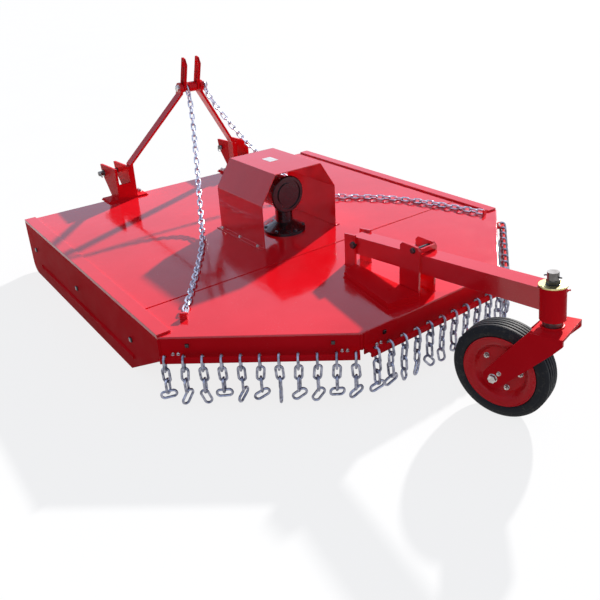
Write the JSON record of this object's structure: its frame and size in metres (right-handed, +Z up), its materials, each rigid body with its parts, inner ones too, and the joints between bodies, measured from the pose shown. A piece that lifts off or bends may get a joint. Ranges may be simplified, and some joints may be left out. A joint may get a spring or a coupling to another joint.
{
  "type": "tractor brush cutter",
  "caption": "Rotary brush cutter for a three-point hitch: flat deck with side skirts, guard chains, covered bevel gearbox, free-swinging blades and a castor tail wheel.",
  "frame": {"origin": "on the ground, below the middle of the standing outline", "axes": "+Y forward to the tractor, +X to the implement's right, +Z up"},
  "size_m": [2.0398, 2.936, 1.1043],
  "materials": {
    "red_paint": "gloss red enamel",
    "black_paint": "gloss black enamel",
    "zinc": "zinc plated, dull",
    "yellow_zinc": "yellow passivated zinc",
    "bare_steel": "plain machined steel",
    "tyre_rubber": "black ribbed tyre"
  },
  "bodies": {
    "deck": {"deck_plate": "red_paint", "edge_strips": "red_paint", "skirt_left": "red_paint", "skirt_right": "red_paint", "apron_left": "red_paint", "guard_chains_left": "zinc", "apron_rear": "red_paint", "guard_chains_rear": "zinc", "apron_right": "red_paint", "guard_chains_right": "zinc", "apron_front": "red_paint", "deck_rails": "red_paint", "deck_cross_members": "red_paint", "gearbox": "black_paint", "cover": "red_paint", "hitch_clevis_left": "red_paint", "hitch_clevis_right": "red_paint", "hitch_pin_left": "bare_steel", "hitch_pin_right": "bare_steel", "mast_leg_left": "red_paint", "mast_leg_right": "red_paint", "mast_bolt": "zinc", "mast_spacer": "red_paint", "long_chain_left": "zinc", "long_chain_right": "zinc", "chain_lugs": "red_paint", "castor_tube": "red_paint", "beam_rib": "red_paint", "tail_beam": "red_paint", "beam_bracket_front": "red_paint", "beam_bracket_rear": "red_paint", "bracket_bolts": "zinc"},
    "rotor": {"rotor_shaft": "black_paint", "blade_pan": "black_paint", "blade_bolts": "bare_steel"},
    "blade_left": {"blade_left": "bare_steel"},
    "blade_right": {"blade_right": "bare_steel"},
    "input_shaft": {"input_shaft": "bare_steel"},
    "top_lug_left": {"top_lug_left": "red_paint"},
    "top_lug_right": {"top_lug_right": "red_paint"},
    "castor": {"spindle": "bare_steel", "spindle_washer": "yellow_zinc", "fork": "red_paint", "axle": "zinc"},
    "wheel": {"rim": "red_paint", "tyre": "tyre_rubber"}
  },
  "joints": [
    {"name": "rotor_spin", "type": "hinge", "parent": "deck", "child": "rotor", "pos_m": [0, 0.194, 0.113], "axis": [0, 0, 1], "continuous": true},
    {"name": "blade_left_swing", "type": "hinge", "parent": "rotor", "child": "blade_left", "pos_m": [-0.3, 0.194, 0.101], "axis": [0, 0, 1], "range_deg": [-100, 100]},
    {"name": "blade_right_swing", "type": "hinge", "parent": "rotor", "child": "blade_right", "pos_m": [0.3, 0.194, 0.101], "axis": [0, 0, 1], "range_deg": [-100, 100]},
    {"name": "input_spin", "type": "hinge", "parent": "deck", "child": "input_shaft", "pos_m": [0, 0.431, 0.503], "axis": [0, 1, 0], "continuous": true},
    {"name": "top_lug_left_swing", "type": "hinge", "parent": "deck", "child": "top_lug_left", "pos_m": [-0.043, 1.074, 0.933], "axis": [1, 0, 0], "range_deg": [-70, 25]},
    {"name": "top_lug_right_swing", "type": "hinge", "parent": "deck", "child": "top_lug_right", "pos_m": [0.043, 1.074, 0.933], "axis": [1, 0, 0], "range_deg": [-70, 25]},
    {"name": "castor_swivel", "type": "hinge", "parent": "deck", "child": "castor", "pos_m": [0, -1.36379, 0.55431], "axis": [0, 0.1045, 0.9945], "continuous": true},
    {"name": "wheel_spin", "type": "hinge", "parent": "castor", "child": "wheel", "pos_m": [-0.04079, -1.23047, 0.18482], "axis": [-0.9728, -0.2305, 0.0242], "continuous": true}
  ],
  "couplings": [
    {"joint": "input_spin", "follows": "rotor_spin", "ratio": 0.685}
  ]
}
